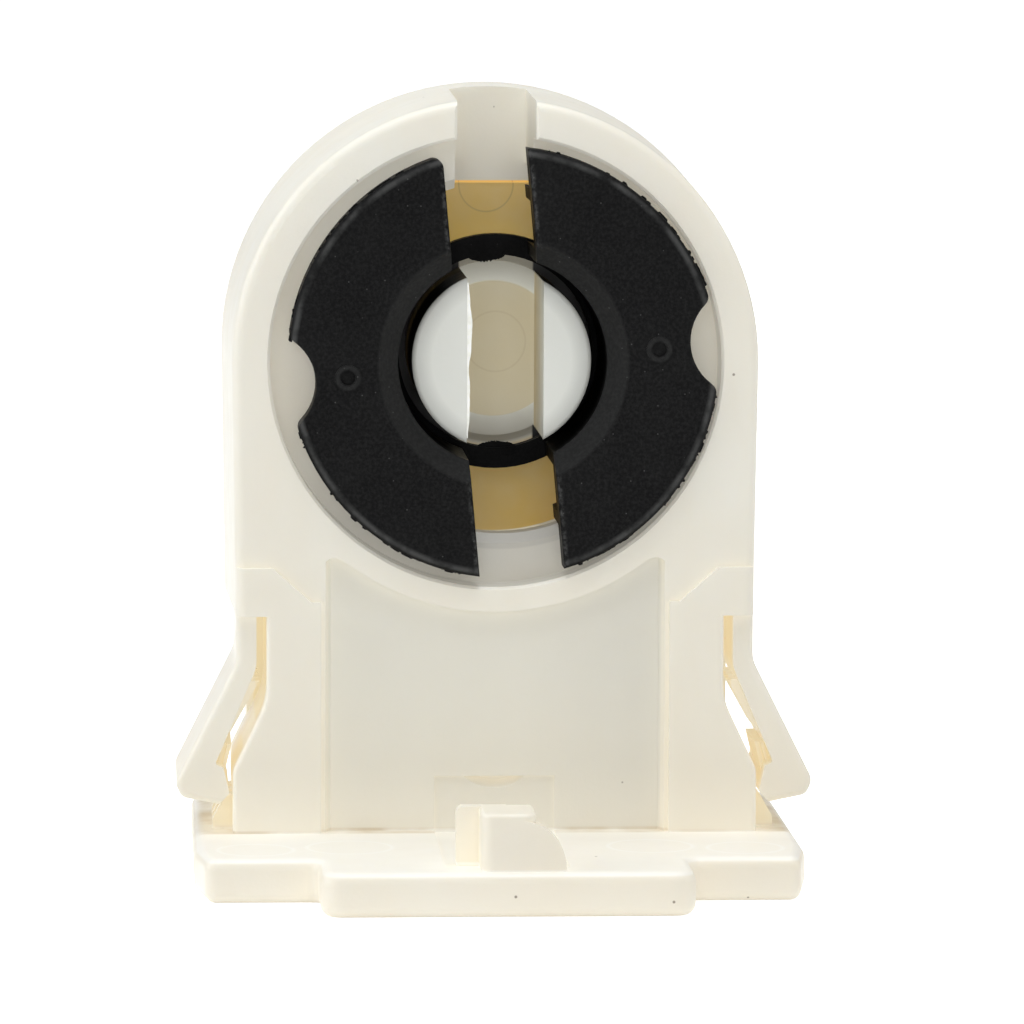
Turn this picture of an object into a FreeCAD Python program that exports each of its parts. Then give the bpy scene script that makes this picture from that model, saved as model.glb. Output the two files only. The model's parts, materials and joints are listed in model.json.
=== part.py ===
"""Push-through rotary holder for the two-pin cap of a fluorescent tube, in millimetres.

+Z is up, X runs across the holder and the tube comes in from the front, at -Y. Heights are drawn from
the top of the base flange, and each finished piece is lifted so that the origin is the middle of the
flange's underside.
"""

import FreeCAD, Part
import math
import os

# Drawing: how far cuts run past a face, how far joined shapes reach into each other, and what counts
# as the same place
overrun = 1.0
overlap = 0.1
same_place = 1e-4

# Lamp cap
pin_spacing = 12.7
pin_diameter = 2.35
pin_clearance = 0.1

# Head
axis_height = 20.3
head_radius = 11.65
side_draw = 0.15
face_draw = 0.34
body_depth = 11.0
face_round = 0.45
wall = 1.2
recess_radius = 9.7
recess_depth = 2.1
recess_round = 0.12
ledge_thickness = 1.5
ledge_lead = 0.4
channel_radius = 8.3
channel_wall = 1.0
slot_width = 3.4
slot_back_set = 0.9
slot_lead = 0.12
slot_back_drop = 0.2

# Foot
column_rise = 0.4
column_width = 3.8
column_top = 11.48
column_bevel_set = 1.9
column_bevel_drop = 1.85
arm_root_height = 9.4
foot_set = 0.2
foot_rear_set = 0.9
foot_shoulder_height = 2.7
foot_shoulder_round = 0.8
waist_set = 1.65
waist_height = 5.75
waist_round = 3.0
window_round = 0.2
partition = 1.6
contact_gap_low_angle = 15.0
contact_gap_high_angle = 36.0

# Front panel between the columns
panel_depth = 0.5
panel_bevel = 0.42
panel_radius = 10.75
panel_round = 0.6
rebate_half_width = 2.6
rebate_height = 2.35
rebate_depth = 0.12
rebate_front = 1.2
nick_radius = 1.6
nick_drop = 0.22
nick_depth = 0.45

# Snap arms
arm_depth = 6.5
arm_setback = 0.4
arm_gap = 0.43
arm_rear_gap = 0.4
arm_bend_height = 7.4
arm_inner_bend_height = 7.15
arm_bend_round = 1.4
arm_splay = 2.64
arm_tip_height = 2.15
arm_tip_round = 0.6
arm_chin_set = 0.3
arm_chin_height = 1.52
arm_chin_round = 0.4
arm_toe_set = 0.06
arm_toe_height = 1.7
arm_sole_out = 0.4
arm_sole_height = 1.2
arm_heel_out = 0.2
arm_heel_height = 2.8
arm_knee_out = 0.56
arm_knee_height = 2.97
arm_knee_round = 0.12
arm_front_round = 0.3
arm_rib_rise = 0.15
arm_rib_width = 0.35
arm_rib_count = 4
arm_rib_low = 4.2
arm_comb_set = 1.1
arm_comb_reach = 0.72
arm_comb_width = 0.95
arm_comb_lean = 0.4
arm_comb_top = 3.7
arm_comb_bottom = 2.05
arm_groove = 0.1
arm_groove_pitch = 0.22
arm_groove_depth = 0.3
arm_groove_count = 3

# Base flange
flange_thickness = 1.9
flange_overhang = 1.5
flange_corner = 0.48
flange_corner_length = 3.2
flange_front_reach = 11.1
flange_wing_reach = 7.15
flange_nose_half_width = 7.82
flange_rear_reach = 1.0
flange_round = 0.5
plan_round = 0.9

# Centring ribs at the foot
foot_rib_reach = 0.85
foot_rib_root = 0.5
foot_rib_toe = 0.43
foot_rib_top = 0.25
foot_rib_height = 1.5
foot_rib_width = 0.7
foot_rib_pitch = 1.6
foot_rib_count = 3

# Locating lug on the flange
lug_half_width = 1.15
lug_height = 2.4
lug_front = 10.7
lug_length = 2.9
lug_wing = 0.95
lug_wing_length = 0.6
lug_wing_round = 0.28
lug_gusset = 1.25
lug_gusset_length = 1.0
lug_gusset_drop = 0.28
lug_gusset_round = 2.0
lug_round = 0.55
lug_edge_round = 0.18

# Rotor
rotor_offset = 0.3
rotor_clearance = 0.45
rotor_proud = 0.5
rotor_thickness = 1.8
rotor_turn_angle = 5.2
rotor_slot = 3.65
rotor_rim_round = 0.2
rotor_worn_round = 0.4
hub_inner_radius = 4.5
hub_wall = 0.55
countersink_radius = 5.35
countersink_depth = 0.9
end_ring_inner = 4.25
end_ring_outer = 5.15
end_ring_thickness = 0.8
end_ring_gap = 1.6
skirt_clearance = 0.1
skirt_wall = 0.55
hook_reach = 0.3
hook_height = 0.65
hook_play = 0.15
hook_half_angle = 14.0
hook_low_angle = 52.0
hook_high_angle = 128.0
notch_radius = 2.3
notch_apex = 8.07
notch_lip = 0.45
dimple_radius = 0.32
dimple_ring = 0.55
dimple_rise = 0.08
dimple_place = 6.7

# Rear cover
floor_rise = 0.8
cover_thickness = 1.4
cover_clearance = 0.1
cover_seat = 0.5
boss_radius = 3.86
boss_front = 1.0
boss_slot = 3.3
boss_slot_offset = 0.15
boss_slot_rise = 0.5
boss_round = 0.2
pedestal_radius = 3.0
pedestal_rise = 0.15
floor_clearance = 0.15
latch_width = 1.8
latch_length = 2.2
latch_thickness = 0.75
latch_barb = 0.3
latch_barb_length = 1.0
latch_play = 0.15

# Contacts
strip = 0.3
leaf_radius = 7.92
leaf_front_gap = 0.8
leaf_back_gap = 0.6
leaf_start_angle = 24.0
leaf_bump_start_angle = 79.0
leaf_bump_end_angle = 101.0
leaf_end_angle = 132.0
leaf_bump_radius = 7.2
bridge_gap = 3.3
clamp_leg_bottom = 1.7
clamp_back_gap = 1.05
clamp_tab_gap = 0.4
tab_low = 2.9
tab_tip = 4.8
riser_foot = 1.8
tab_reach = 0.85
bend = 0.6
contact_clearance = 0.05

# Wire entries
wire_entry_radius = 1.25
wire_pitch = 3.5
wire_lead = 0.4
entry_floor = 1.1

# Worked out from the sizes above
body_half_width = head_radius - side_draw
face_half_width = body_half_width - face_draw
foot_half_width = body_half_width - foot_set
foot_rear_half_width = body_half_width - foot_rear_set
waist_half_width = body_half_width - waist_set
column_inner = foot_half_width - column_width
column_bevel_x = body_half_width - column_bevel_set
panel_half_width = column_inner - panel_bevel
flange_half_width = body_half_width + flange_overhang
total_depth = flange_front_reach + column_rise + body_depth + flange_rear_reach
face_y = flange_front_reach + column_rise - total_depth / 2
column_y = face_y - column_rise
back_y = face_y + body_depth
cover_y = back_y - cover_thickness
floor_y = cover_y - floor_rise
slot_back_y = floor_y - slot_back_set
boss_slot_y = floor_y - boss_slot_rise
ledge_y = face_y + recess_depth
ledge_back_y = ledge_y + ledge_thickness
flange_front_y = -total_depth / 2
flange_back_y = total_depth / 2
wing_y = column_y - flange_wing_reach
panel_y = face_y + panel_depth
ledge_radius = (pin_spacing + pin_diameter) / 2 + pin_clearance
rotor_radius = recess_radius - rotor_clearance
rotor_front_y = face_y - rotor_proud
rotor_plate_y = rotor_front_y + rotor_thickness
hub_radius = hub_inner_radius + hub_wall
end_ring_y = floor_y - end_ring_gap - end_ring_thickness
hook_y = ledge_back_y + hook_play
waist_inner = waist_half_width - wall
arm_front_y = column_y + arm_setback
arm_inner = waist_half_width + arm_gap
arm_tip = face_half_width + arm_splay
arm_knee = body_half_width + arm_knee_out
arm_zone_y = arm_front_y + arm_depth + arm_rear_gap
leaf_y = hook_y + hook_height + leaf_front_gap
clamp_y = panel_y + wall + contact_clearance
clamp_width = cover_y - clamp_back_gap - clamp_y
bridge_height = axis_height - channel_radius - channel_wall - bridge_gap
leg_x = waist_inner - contact_clearance - strip / 2
wire_x = leg_x - strip / 2 - wire_entry_radius - contact_clearance
far = 3 * head_radius


def point(x, y, z):
    return FreeCAD.Vector(x, y, z)


def polar(radius, degrees):
    """Point on the face plan, by its distance from the lamp axis and its angle from straight down."""
    turn = math.radians(degrees)
    return radius * math.sin(turn), axis_height - radius * math.cos(turn)


def block(x_low, x_high, y_low, y_high, z_low, z_high):
    return Part.makeBox(x_high - x_low, y_high - y_low, z_high - z_low, point(x_low, y_low, z_low))


def rod(radius, y_low, y_high, x=0.0, z=axis_height):
    return Part.makeCylinder(radius, y_high - y_low, point(x, y_low, z), point(0, 1, 0))


def taper(radius_low, radius_high, y_low, y_high):
    start = point(0, y_low, axis_height)
    return Part.makeCone(radius_low, radius_high, y_high - y_low, start, point(0, 1, 0))


def tube(inner, outer, y_low, y_high):
    return rod(outer, y_low, y_high).cut(rod(inner, y_low, y_high))


def unit(start, end):
    length = math.hypot(end[0] - start[0], end[1] - start[1])
    return (end[0] - start[0]) / length, (end[1] - start[1]) / length


def rounded_edges(corners, place):
    """Closed edges through corners (u, v, radius), with an arc tangent to both sides at each corner."""
    legs = []
    for index, (u, v, radius) in enumerate(corners):
        if radius == 0:
            legs.append(((u, v), (u, v), None))
            continue
        back = unit((u, v), corners[index - 1])
        ahead = unit((u, v), corners[(index + 1) % len(corners)])
        half = math.acos(back[0] * ahead[0] + back[1] * ahead[1]) / 2
        reach = radius / math.tan(half)
        middle = unit((0, 0), (back[0] + ahead[0], back[1] + ahead[1]))
        sag = radius / math.sin(half) - radius
        start = (u + back[0] * reach, v + back[1] * reach)
        end = (u + ahead[0] * reach, v + ahead[1] * reach)
        legs.append((start, end, (u + middle[0] * sag, v + middle[1] * sag)))
    edges = []
    for index, (start, end, middle) in enumerate(legs):
        if middle:
            edges.append(Part.Arc(place(*start), place(*middle), place(*end)).toShape())
        following = legs[(index + 1) % len(legs)][0]
        if math.dist(end, following) > same_place:
            edges.append(Part.makeLine(place(*end), place(*following)))
    return edges


def face_prism(corners, y_low, y_high):
    """Solid whose outline is drawn on the holder's face, as seen from the front."""
    edges = rounded_edges(corners, lambda x, z: point(x, y_low, z))
    return Part.Face(Part.Wire(edges)).extrude(point(0, y_high - y_low, 0))


def plan_prism(corners, z_low, z_high):
    """Solid whose outline is drawn on the plan, as seen from above."""
    edges = rounded_edges(corners, lambda x, y: point(x, y, z_low))
    return Part.Face(Part.Wire(edges)).extrude(point(0, 0, z_high - z_low))


def mirrored(shape):
    return shape.mirror(point(0, 0, 0), point(1, 0, 0))


def both_sides(shape):
    return shape.fuse(mirrored(shape))


def turned(shape, degrees):
    """Turn about the lamp axis, positive to the left as seen from the front."""
    copy = shape.copy()
    copy.rotate(point(0, 0, axis_height), point(0, 1, 0), -degrees)
    return copy


def on_rotor_axis(shape):
    """Move a shape drawn about the head's middle to the rotor's axis."""
    copy = shape.copy()
    copy.translate(point(rotor_offset, 0, 0))
    return copy


def wedge(low_angle, high_angle, y_low, y_high):
    """Sector about the lamp axis, from straight down, wide enough to cut any ring."""
    low = polar(far, low_angle)
    high = polar(far, high_angle)
    return face_prism([(0, axis_height, 0), (*low, 0), (*high, 0)], y_low, y_high)


def fused(shapes):
    result = shapes[0]
    for shape in shapes[1:]:
        result = result.fuse(shape)
    return result.removeSplitter()


def edges_where(shape, test):
    return [edge for edge in shape.Edges if test(edge)]


def lies_at_y(edge, y):
    return abs(edge.BoundBox.YMin - y) < same_place and abs(edge.BoundBox.YMax - y) < same_place


def lies_at_z(edge, z):
    return abs(edge.BoundBox.ZMin - z) < same_place and abs(edge.BoundBox.ZMax - z) < same_place


def runs_back(edge, length):
    """True for an edge that runs from front to back over at least this length."""
    return edge.BoundBox.YLength > length - same_place


def arch_prism(radius, low_half_width, bottom, y_low, y_high):
    """Half circle about the lamp axis, on sides that draw in a little towards the bottom."""
    sides = face_prism(
        [
            (-low_half_width, bottom, 0),
            (low_half_width, bottom, 0),
            (radius, axis_height, 0),
            (-radius, axis_height, 0),
        ],
        y_low,
        y_high,
    )
    return fused([sides, rod(radius, y_low, y_high)])


def strip_prism(path, y_low, y_high):
    """Bent strip of even thickness: path is its middle line, as (x, z, bend radius) corners."""
    outline = []
    for side in (1, -1):
        points = path if side > 0 else path[::-1]
        row = []
        for index, (x, z, radius) in enumerate(points):
            before = unit(points[index - 1], (x, z)) if index else None
            after = unit((x, z), points[index + 1]) if index < len(points) - 1 else None
            first = before or after
            last = after or before
            normal = unit((0, 0), (-first[1] - last[1], first[0] + last[0]))
            spread = strip / 2 / (normal[0] * -first[1] + normal[1] * first[0])
            bends_left = first[0] * last[1] - first[1] * last[0] > 0
            inside = radius - strip / 2 if bends_left else radius + strip / 2
            row.append((x + normal[0] * spread, z + normal[1] * spread, inside if radius else 0))
        outline += row
    return face_prism(outline[::-1], y_low, y_high)


def make_head():
    """Round head, drawn in a little towards its face, with the outer front edge rounded."""
    outlines = []
    for inset, y in ((face_draw, face_y), (0, back_y)):
        low = body_half_width - inset
        high = head_radius - inset
        corners = [(-low, arm_root_height), (low, arm_root_height), (high, axis_height), (-high, axis_height)]
        places = [point(x, y, z) for x, z in corners]
        outlines.append(Part.makePolygon(places + places[:1]))
    sides = Part.makeLoft(outlines, True, True)
    head = fused([sides, taper(head_radius - face_draw, head_radius, face_y, back_y)])

    def on_rim(edge):
        return lies_at_y(edge, face_y) and edge.BoundBox.ZMax > arm_root_height + overlap

    return head.makeFillet(face_round, edges_where(head, on_rim))


def waist_outline(inner_x):
    """Half outline of the front of the foot, waisted beside the snap arms."""
    return [
        (inner_x, -flange_thickness, 0),
        (foot_half_width, -flange_thickness, 0),
        (foot_half_width, foot_shoulder_height, foot_shoulder_round),
        (waist_half_width, waist_height, waist_round),
        (waist_half_width, arm_root_height + wall / 2, 0),
        (inner_x, arm_root_height + wall / 2, 0),
    ]


def make_foot():
    """Middle of the foot: waisted between the arms, straight behind them."""
    front = face_prism(waist_outline(0), face_y, arm_zone_y + wall)
    top = arm_root_height + wall / 2
    rear = block(0, foot_rear_half_width, arm_zone_y, back_y, -flange_thickness, top)
    return both_sides(front.fuse(rear)).removeSplitter()


def rounded_front(shape, beyond_x, radius):
    """Round the edges of a column's front that lie beyond x."""

    def on_side(edge):
        return lies_at_y(edge, column_y) and edge.BoundBox.XMin > beyond_x

    return shape.makeFillet(radius, edges_where(shape, on_side))


def make_columns():
    """Raised front of the foot, one each side of the panel, with a sloped shoulder."""
    low = face_prism(waist_outline(column_inner), column_y, face_y + wall)
    shoulder = face_prism(
        [
            (column_inner, arm_root_height, 0),
            (face_half_width, arm_root_height, 0),
            (face_half_width, column_top, 0),
            (column_bevel_x, column_top, 0),
            (column_inner, column_top - column_bevel_drop, 0),
        ],
        column_y,
        face_y + wall,
    )
    low = rounded_front(low, column_inner + overlap, face_round / 2)
    shoulder = rounded_front(shoulder, face_half_width - overlap, face_round)
    return both_sides(fused([low, shoulder]))


def make_arm():
    """Right snap arm, hanging from the head beside the foot and slanting outwards."""
    root = arm_root_height + wall
    corners = [
        (arm_inner, root, 0),
        (arm_inner, arm_inner_bend_height, arm_bend_round),
        (arm_knee, arm_knee_height, arm_knee_round),
        (body_half_width + arm_heel_out, arm_heel_height, 0),
        (body_half_width - arm_toe_set, arm_toe_height, arm_knee_round),
        (body_half_width + arm_sole_out, arm_sole_height, 0),
        (arm_tip - arm_chin_set, arm_chin_height, arm_chin_round),
        (arm_tip, arm_tip_height, arm_tip_round),
        (face_half_width, arm_bend_height, arm_bend_round),
        (face_half_width, root, 0),
    ]
    arm = face_prism(corners, arm_front_y, arm_front_y + arm_depth)
    slant = arm_splay / (arm_bend_height - arm_tip_height)

    def on_outside(edge):
        middle = edge.CenterOfMass
        side = face_half_width + max(0, arm_bend_height - middle.z) * slant
        return lies_at_y(edge, arm_front_y) and middle.x > side - face_round

    arm = arm.makeFillet(arm_front_round, edges_where(arm, on_outside))
    pitch = arm_depth / (arm_rib_count + 1)
    ribs = [arm_rib(arm_front_y + pitch * (index + 1)) for index in range(arm_rib_count)]
    return fused([arm, arm_comb()] + ribs)


def arm_rib(y):
    """Low rib along the arm's inner face, towards the foot."""
    slope = (arm_knee - arm_inner) / (arm_inner_bend_height - arm_knee_height)
    top = (arm_inner, arm_inner_bend_height - arm_bend_round / 2)
    low = (arm_inner + (arm_inner_bend_height - arm_rib_low) * slope, arm_rib_low)
    return face_prism(
        [
            (top[0] - arm_rib_rise, top[1], 0),
            (top[0] + arm_front_round, top[1], 0),
            (low[0] + arm_front_round, low[1], 0),
            (low[0] - arm_rib_rise, low[1], 0),
        ],
        y - arm_rib_width / 2,
        y + arm_rib_width / 2,
    )


def leaning_prism(x, width, y_low, y_high):
    """Upright slice of the arm's comb, leaning outwards towards the flange."""
    return face_prism(
        [
            (x, arm_comb_top, 0),
            (x + width, arm_comb_top, 0),
            (x + width + arm_comb_lean, arm_comb_bottom, 0),
            (x + arm_comb_lean, arm_comb_bottom, 0),
        ],
        y_low,
        y_high,
    )


def arm_comb():
    """Grooved pad on the inside of the arm's tip, set back from its front."""
    x = arm_knee - arm_comb_reach
    y = arm_front_y + arm_comb_set
    comb = leaning_prism(x, arm_comb_width, y, arm_front_y + arm_depth - arm_comb_set)
    for index in range(1, arm_groove_count + 1):
        start = x + index * arm_groove_pitch - arm_groove / 2
        comb = comb.cut(leaning_prism(start, arm_groove, y - overlap, y + arm_groove_depth))
    return comb


def make_flange():
    """Base flange, with a nose in front of the panel and wings at its sides."""
    side = flange_half_width
    corner = flange_corner
    nose = flange_nose_half_width
    corners = [
        (-nose, flange_front_y, plan_round),
        (nose, flange_front_y, plan_round),
        (nose, wing_y, plan_round / 2),
        (side - corner, wing_y, plan_round / 2),
        (side, wing_y + flange_corner_length, flange_corner_length),
        (side, flange_back_y, plan_round),
        (-side, flange_back_y, plan_round),
        (-side, wing_y + flange_corner_length, flange_corner_length),
        (-side + corner, wing_y, plan_round / 2),
        (-nose, wing_y, plan_round / 2),
    ]
    flange = plan_prism(corners, -flange_thickness, 0)
    rim = edges_where(flange, lambda edge: lies_at_z(edge, 0) or lies_at_z(edge, -flange_thickness))
    return flange.makeFillet(flange_round, rim)


def make_foot_ribs():
    """Small gussets that centre the foot in its cut-out."""
    outline = [
        (foot_half_width - foot_rib_root, -overlap, 0),
        (foot_half_width + foot_rib_reach, -overlap, 0),
        (foot_half_width + foot_rib_reach, foot_rib_toe, 0),
        (foot_half_width + foot_rib_top, foot_rib_height, 0),
        (foot_half_width - foot_rib_root, foot_rib_height, 0),
    ]
    first = face_y + (arm_depth - foot_rib_width - (foot_rib_count - 1) * foot_rib_pitch) / 2
    starts = [first + index * foot_rib_pitch for index in range(foot_rib_count)]
    return both_sides(fused([face_prism(outline, start, start + foot_rib_width) for start in starts]))


def make_lug():
    """Locating lug on the flange, with a flat wing and a curved gusset."""
    front = column_y - lug_front
    back = front + lug_length
    peg = plan_prism(
        [
            (-lug_half_width, front, lug_round),
            (lug_half_width, front, lug_round),
            (lug_half_width, back, lug_edge_round),
            (-lug_half_width, back, lug_edge_round),
        ],
        -overlap,
        lug_height,
    )
    peg = peg.makeFillet(lug_edge_round, edges_where(peg, lambda edge: lies_at_z(edge, lug_height)))
    wing = face_prism(
        [
            (-lug_half_width - lug_wing, -overlap, 0),
            (0, -overlap, 0),
            (0, lug_height, 0),
            (-lug_half_width - lug_wing, lug_height, lug_wing_round),
        ],
        back - lug_wing_length,
        back,
    )
    gusset = face_prism(
        [
            (0, -overlap, 0),
            (lug_half_width + lug_gusset, -overlap, 0),
            (lug_half_width + lug_gusset, lug_height - lug_gusset_drop, lug_gusset_round),
            (0, lug_height - lug_gusset_drop, 0),
        ],
        front,
        front + lug_gusset_length,
    )
    return fused([peg, wing, gusset])


def recess_cut():
    """Front recess, the ledge's bore with its lead, and the pin channel behind the ledge."""
    bore = fused(
        [
            taper(ledge_radius + ledge_lead, ledge_radius, ledge_y, ledge_y + ledge_lead),
            rod(ledge_radius, ledge_y, ledge_back_y + overlap),
            rod(channel_radius, ledge_back_y, cover_y),
        ]
    )
    recess = rod(recess_radius, column_y - overrun, ledge_y)
    mouth = taper(recess_radius + recess_round, recess_radius, face_y, face_y + recess_round)
    return fused([recess, mouth, on_rotor_axis(bore)])


def slot_cut():
    """Entry slot for the pins, open at the front and the top."""
    half = slot_width / 2
    flare = half + slot_lead
    low = axis_height + ledge_radius
    high = axis_height + far
    slot = block(-half, half, column_y - overrun, slot_back_y, low - overrun, high)
    lead = plan_prism(
        [
            (-flare, face_y - overrun, 0),
            (flare, face_y - overrun, 0),
            (flare, face_y, 0),
            (half, face_y + slot_lead, 0),
            (-half, face_y + slot_lead, 0),
            (-flare, face_y, 0),
        ],
        low,
        high,
    )
    return slot.fuse(lead)


def slot_housing():
    """Side walls of the entry slot outside the channel, and its back wall down into the channel."""
    half = slot_width / 2 + wall
    back = slot_back_y + wall
    top = axis_height + head_radius - wall / 2
    sides = block(-half, half, ledge_back_y, back, axis_height, top)
    sides = sides.cut(on_rotor_axis(rod(channel_radius, ledge_back_y, back)))
    closing = block(-half, half, slot_back_y, back, axis_height + ledge_radius - slot_back_drop, top)
    return fused([sides, closing])


def cavity_cut():
    """Hollow behind the face wall, between the outer wall and the wall of the pin channel."""
    inner_radius = head_radius - wall
    head = arch_prism(inner_radius, body_half_width - wall, arm_root_height + wall, ledge_back_y, back_y)
    foot = block(-waist_inner, waist_inner, ledge_back_y, back_y, entry_floor, axis_height)
    front = block(-waist_inner, waist_inner, panel_y + wall, ledge_back_y, entry_floor, axis_height)
    front = front.cut(rod(recess_radius + wall, face_y, ledge_back_y))
    ring = tube(channel_radius, channel_radius + channel_wall, ledge_back_y, cover_y)
    ring = ring.cut(wedge(contact_gap_low_angle, contact_gap_high_angle, ledge_back_y, cover_y))
    ring = ring.cut(wedge(-contact_gap_low_angle, -contact_gap_high_angle, ledge_back_y, cover_y))
    middle = block(-partition / 2, partition / 2, panel_y, cover_y, 0, axis_height - channel_radius)
    return fused([head, foot, front]).cut(on_rotor_axis(ring)).cut(middle).cut(slot_housing())


def cover_outline(clearance):
    """Rear cover's plate, or with no clearance the step that it sits in."""
    inset = wall - cover_seat + clearance
    foot_half = waist_inner + cover_seat - clearance
    bottom = entry_floor - cover_seat + clearance
    low = block(-foot_half, foot_half, cover_y, back_y, bottom, arm_root_height + 2 * wall)
    radius = head_radius - inset
    head = arch_prism(radius, body_half_width - inset, arm_root_height + inset, cover_y, back_y)
    return fused([low, head])


def panel_outline(half):
    """Panel's opening between the columns: square below, with a round top about the lamp axis."""
    front = column_y - overrun
    opening = block(-half, half, front, panel_y, 0, axis_height).cut(rod(panel_radius, front, panel_y))

    def at_top(edge):
        return runs_back(edge, panel_y - front) and edge.BoundBox.ZMin > axis_height - panel_radius

    return opening.makeFillet(panel_round, edges_where(opening, at_top))


def panel_cut():
    """Recessed panel with bevelled sides and a round top."""
    half = panel_half_width
    bevel = plan_prism(
        [(-column_inner, column_y, 0), (column_inner, column_y, 0), (half, panel_y, 0), (-half, panel_y, 0)],
        0,
        axis_height,
    )
    return fused([panel_outline(half), bevel.common(panel_outline(column_inner))])


def rebate_cut():
    """Shallow rebate round the lug, in the panel and the flange, with a scooped nick at its top."""
    half = rebate_half_width
    front = column_y - lug_front + rebate_front
    upright = block(-half, half, panel_y - overlap, panel_y + rebate_depth, -rebate_depth, rebate_height)
    flat = block(-half, half, front, panel_y, -rebate_depth, overlap)
    nick_z = rebate_height - nick_drop + nick_radius
    start = point(0, panel_y, nick_z)
    nick = Part.makeCone(nick_radius + nick_depth, nick_radius, nick_depth, start, point(0, 1, 0))
    nick = nick.common(block(-half, half, panel_y, panel_y + nick_depth, 0, rebate_height))
    return fused([upright, flat, nick])


def wire_places():
    middle = clamp_y + clamp_width / 2
    return [(side * wire_x, middle + step * wire_pitch / 2) for side in (1, -1) for step in (-1, 1)]


def wire_cut():
    """Wire entries through the underside, each with a funnel mouth."""
    cuts = []
    length = flange_thickness + entry_floor + overrun
    for x, y in wire_places():
        underside = point(x, y, -flange_thickness)
        hole = Part.makeCylinder(wire_entry_radius, length, underside)
        mouth = Part.makeCone(wire_entry_radius + wire_lead, wire_entry_radius, wire_lead, underside)
        cuts.append(hole.fuse(mouth))
    return fused(cuts)


def latch_places():
    """Where the cover's latches meet the inner walls: x, z and the way each points, from the right."""
    side = partition / 2 + latch_play + latch_width / 2
    wall_x = head_radius - wall
    return [
        (wall_x, axis_height, 0),
        (-wall_x, axis_height, 180),
        (side, entry_floor, 90),
        (-side, entry_floor, 90),
    ]


def set_at(shape, place):
    """Move a piece drawn at the origin, pointing to the right, to its wall."""
    x, z, degrees = place
    copy = shape.copy()
    copy.rotate(point(0, 0, 0), point(0, 1, 0), degrees)
    copy.translate(point(x, 0, z))
    return copy


def latch_windows():
    """Pockets in the walls for the cover's barbs."""
    half = latch_width / 2 + latch_play
    start = cover_y - latch_length - latch_play
    length = latch_barb_length + 2 * latch_play
    pocket = block(-latch_play, latch_barb + latch_play, start, start + length, -half, half)
    return fused([set_at(pocket, place) for place in latch_places()])


def make_body():
    body = fused([make_head(), make_foot(), make_columns(), make_flange(), make_foot_ribs()])
    body = body.fuse(both_sides(make_arm()))
    body = body.cut(recess_cut())
    body = body.cut(cavity_cut())
    body = body.fuse(slot_housing())
    body = body.cut(slot_cut())
    body = body.cut(cover_outline(0))
    body = body.cut(panel_cut())
    body = body.cut(rebate_cut())
    body = body.fuse(make_lug())
    body = body.cut(wire_cut())
    body = body.cut(latch_windows())
    return body.removeSplitter()


def make_plates():
    """The two half-moon plates, with a notch in each rim and a dimple."""
    half = rotor_slot / 2
    front = rotor_front_y - overrun
    back = rotor_plate_y + overrun
    plate = rod(rotor_radius, rotor_front_y, rotor_plate_y)
    plate = plate.cut(block(-half, half, front, back, axis_height - far, axis_height + far))
    for side in (1, -1):
        plate = plate.cut(rod(notch_radius, front, back, x=side * (notch_apex + notch_radius)))

    def at_slot(edge):
        return runs_back(edge, rotor_thickness) and abs(edge.CenterOfMass.x) < half + overlap

    def at_worn_corner(edge):
        return at_slot(edge) and edge.CenterOfMass.x < 0 and edge.CenterOfMass.z > axis_height

    def at_notch(edge):
        return runs_back(edge, rotor_thickness) and abs(edge.CenterOfMass.x) > rotor_radius / 2

    plate = plate.makeFillet(rotor_worn_round, edges_where(plate, at_worn_corner))
    plate = plate.makeFillet(notch_lip, edges_where(plate, at_notch))
    rims = edges_where(plate, lambda edge: lies_at_y(edge, rotor_front_y))
    plate = plate.makeFillet(rotor_rim_round, rims)
    for side in (1, -1):
        place = side * dimple_place
        ring = rod(dimple_ring, rotor_front_y - dimple_rise, rotor_front_y + overlap, x=place)
        plate = plate.fuse(ring).cut(rod(dimple_radius, front, rotor_front_y + dimple_rise, x=place))
    return plate


def make_rotor():
    """Two half-moon plates on a slotted hub, closed behind the pins by an end ring."""
    half = rotor_slot / 2
    front = rotor_front_y - overrun
    skirt_outer = ledge_radius - skirt_clearance
    skirt = tube(skirt_outer - skirt_wall, skirt_outer, rotor_plate_y - overlap, hook_y + hook_height)
    hub = tube(hub_inner_radius, hub_radius, rotor_plate_y - overlap, end_ring_y + overlap)
    carrier = fused([skirt, hub, make_hooks(skirt_outer)])
    carrier = carrier.cut(block(-half, half, front, end_ring_y, axis_height - far, axis_height + far))
    rotor = fused([make_plates(), carrier])
    rotor = rotor.cut(rod(hub_inner_radius, front, rotor_plate_y + overrun))
    sink_y = rotor_front_y + countersink_depth
    rotor = rotor.cut(taper(countersink_radius, hub_inner_radius, rotor_front_y, sink_y))
    end_ring = tube(end_ring_inner, end_ring_outer, end_ring_y, end_ring_y + end_ring_thickness)
    rotor = rotor.fuse(end_ring).removeSplitter()
    return on_rotor_axis(turned(rotor, rotor_turn_angle))


def make_hooks(skirt_outer):
    """Snap hooks behind the ledge, as arcs of one ring."""
    ring = tube(skirt_outer - skirt_wall, skirt_outer + hook_reach, hook_y, hook_y + hook_height)
    hooks = []
    for angle in (hook_low_angle, hook_high_angle):
        for middle in (angle, -angle):
            sector = wedge(middle - hook_half_angle, middle + hook_half_angle, hook_y, hook_y + hook_height)
            hooks.append(ring.common(sector))
    return fused(hooks)


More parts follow.
